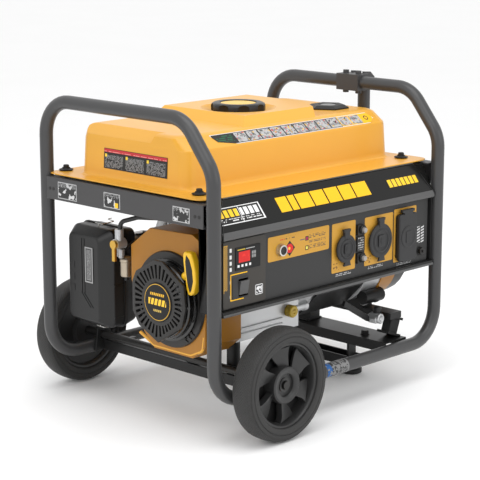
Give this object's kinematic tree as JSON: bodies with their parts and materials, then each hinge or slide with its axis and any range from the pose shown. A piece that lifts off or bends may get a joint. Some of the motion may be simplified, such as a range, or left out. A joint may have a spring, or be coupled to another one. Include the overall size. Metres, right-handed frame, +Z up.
{
  "type": "portable generator",
  "caption": "Open-frame petrol generator: tubular frame, steel tank, engine and alternator, control panel, two wheels and a fold-down handle.",
  "frame": {"origin": "on the ground, below the middle of the whole object's box", "axes": "+X from the recoil starter's end to the handle's end, +Y away from the control panel, +Z up"},
  "size_m": [0.745, 0.64, 0.654],
  "materials": {
    "frame_paint": "satin dark grey paint",
    "black_paint": "semi-gloss black paint",
    "tank_paint": "glossy amber paint",
    "rubber": "matt black rubber",
    "tyre": "solid rubber tyre",
    "grey_plastic": "matt dark grey",
    "black_plastic": "fine-grained black",
    "yellow_plastic": "yellow",
    "aluminium": "cast",
    "steel": "plain",
    "brass": "dull"
  },
  "bodies": {
    "root": {"hoop_left": "frame_paint", "hoop_right": "frame_paint", "rail_front": "frame_paint", "rail_back": "frame_paint", "crossbar_left": "frame_paint", "crossbar_right": "frame_paint", "handle_clamp": "frame_paint", "cross_member_left": "black_paint", "cross_member_right": "black_paint", "control_box": "black_paint", "alternator_stator": "black_paint", "tank_upper": "tank_paint", "tank_lower": "tank_paint", "blower_shroud": "tank_paint", "foot_front": "rubber", "foot_back": "rubber", "tank_bolt_left_front": "rubber", "tank_bolt_left_back": "rubber", "tank_bolt_right_front": "rubber", "tank_bolt_right_back": "rubber", "alternator_mount_front": "rubber", "alternator_mount_back": "rubber", "engine_mount_front": "rubber", "engine_mount_back": "rubber", "control_panel": "grey_plastic", "fuel_gauge": "black_plastic", "socket_small": "black_plastic", "socket_large": "black_plastic", "socket_wide": "black_plastic", "recoil_cover": "black_plastic", "air_box_cover": "black_plastic", "air_box_base": "black_plastic", "alternator_cover": "black_plastic", "engine_block": "aluminium", "cylinder_head": "aluminium", "carburettor": "aluminium", "fuel_tap": "aluminium", "alternator_bell": "aluminium", "axle": "steel", "muffler": "steel"},
    "wheel_front": {"tyre_front": "tyre", "rim_front": "grey_plastic"},
    "wheel_back": {"tyre_back": "tyre", "rim_back": "grey_plastic"},
    "handle": {"handle": "frame_paint"},
    "cap_gasket": {"cap_gasket": "rubber"},
    "fuel_cap": {"fuel_cap": "black_plastic"},
    "starter_grip": {"starter_grip": "yellow_plastic"},
    "recoil_pulley": {"recoil_pulley": "grey_plastic"},
    "crankshaft": {"crankshaft": "steel"},
    "fuel_tap_lever": {"fuel_tap_lever": "brass"},
    "choke_lever": {"choke_lever": "black_plastic"},
    "oil_cap": {"oil_cap": "yellow_plastic"},
    "cover_small": {"socket_cover_small": "black_plastic"},
    "cover_large": {"socket_cover_large": "black_plastic"},
    "cover_wide": {"socket_cover_wide": "black_plastic"},
    "breaker_upper": {"breaker_button_upper": "steel"},
    "breaker_lower": {"breaker_button_lower": "steel"},
    "co_button": {"co_test_button": "steel"},
    "rocker": {"rocker_switch": "black_plastic"}
  },
  "joints": [
    {"name": "wheel_front_spin", "type": "hinge", "parent": "root", "child": "wheel_front", "pos_m": [-0.2305, -0.294, 0.113], "axis": [0, 1, 0], "continuous": true},
    {"name": "wheel_back_spin", "type": "hinge", "parent": "root", "child": "wheel_back", "pos_m": [-0.2305, 0.294, 0.113], "axis": [0, 1, 0], "continuous": true},
    {"name": "handle_fold", "type": "hinge", "parent": "root", "child": "handle", "pos_m": [0.3565, 0, 0.628], "axis": [0, -1, 0], "range_deg": [0, 95]},
    {"name": "fuel_cap_lift", "type": "slide", "parent": "root", "child": "cap_gasket", "axis": [0, 0, 1], "range_m": [0, 0.06]},
    {"name": "fuel_cap_turn", "type": "hinge", "parent": "cap_gasket", "child": "fuel_cap", "pos_m": [-0.0235, 0.022, 0.61], "axis": [0, 0, 1], "range_deg": [0, 90]},
    {"name": "starter_pull", "type": "slide", "parent": "root", "child": "starter_grip", "axis": [-0.9404, -0.3401, 0], "range_m": [0, 0.6], "stiffness_N_per_m": 20, "springref_m": -0.3},
    {"name": "recoil_pulley_spin", "type": "hinge", "parent": "root", "child": "recoil_pulley", "pos_m": [-0.3415, -0.086, 0.261], "axis": [1, 0, 0], "range_deg": [0, 770]},
    {"name": "crank_spin", "type": "hinge", "parent": "root", "child": "crankshaft", "pos_m": [-0.0215, -0.086, 0.261], "axis": [1, 0, 0], "continuous": true},
    {"name": "fuel_tap_turn", "type": "hinge", "parent": "root", "child": "fuel_tap_lever", "pos_m": [-0.3295, 0.056, 0.352], "axis": [-1, 0, 0], "range_deg": [0, 90]},
    {"name": "choke_turn", "type": "hinge", "parent": "root", "child": "choke_lever", "pos_m": [-0.2295, 0.088, 0.353], "axis": [0, 0, 1], "range_deg": [0, 60]},
    {"name": "oil_cap_turn", "type": "hinge", "parent": "root", "child": "oil_cap", "pos_m": [-0.0665, -0.164, 0.205], "axis": [0, -1, 0], "range_deg": [0, 360]},
    {"name": "cover_small_hinge", "type": "hinge", "parent": "root", "child": "cover_small", "pos_m": [0.0155, -0.2436, 0.372], "axis": [-1, 0, 0], "range_deg": [0, 95], "stiffness_Nm_per_rad": 0.04, "springref_deg": -34.38},
    {"name": "cover_large_hinge", "type": "hinge", "parent": "root", "child": "cover_large", "pos_m": [0.1245, -0.2436, 0.38], "axis": [-1, 0, 0], "range_deg": [0, 95], "stiffness_Nm_per_rad": 0.04, "springref_deg": -34.38},
    {"name": "cover_wide_hinge", "type": "hinge", "parent": "root", "child": "cover_wide", "pos_m": [0.2105, -0.2436, 0.386], "axis": [-1, 0, 0], "range_deg": [0, 95], "stiffness_Nm_per_rad": 0.04, "springref_deg": -34.38},
    {"name": "breaker_upper_press", "type": "slide", "parent": "root", "child": "breaker_upper", "axis": [0, 1, 0], "range_m": [0, 0.003], "stiffness_N_per_m": 400, "springref_m": -0.002},
    {"name": "breaker_lower_press", "type": "slide", "parent": "root", "child": "breaker_lower", "axis": [0, 1, 0], "range_m": [0, 0.003], "stiffness_N_per_m": 400, "springref_m": -0.002},
    {"name": "co_test_press", "type": "slide", "parent": "root", "child": "co_button", "axis": [0, 1, 0], "range_m": [0, 0.003], "stiffness_N_per_m": 400, "springref_m": -0.002},
    {"name": "rocker_tip", "type": "hinge", "parent": "root", "child": "rocker", "pos_m": [-0.278, -0.239, 0.3055], "axis": [-1, 0, 0], "range_deg": [0, 20]}
  ],
  "couplings": [
    {"joint": "recoil_pulley_spin", "follows": "starter_pull", "rad_per_m": 22.2}
  ]
}
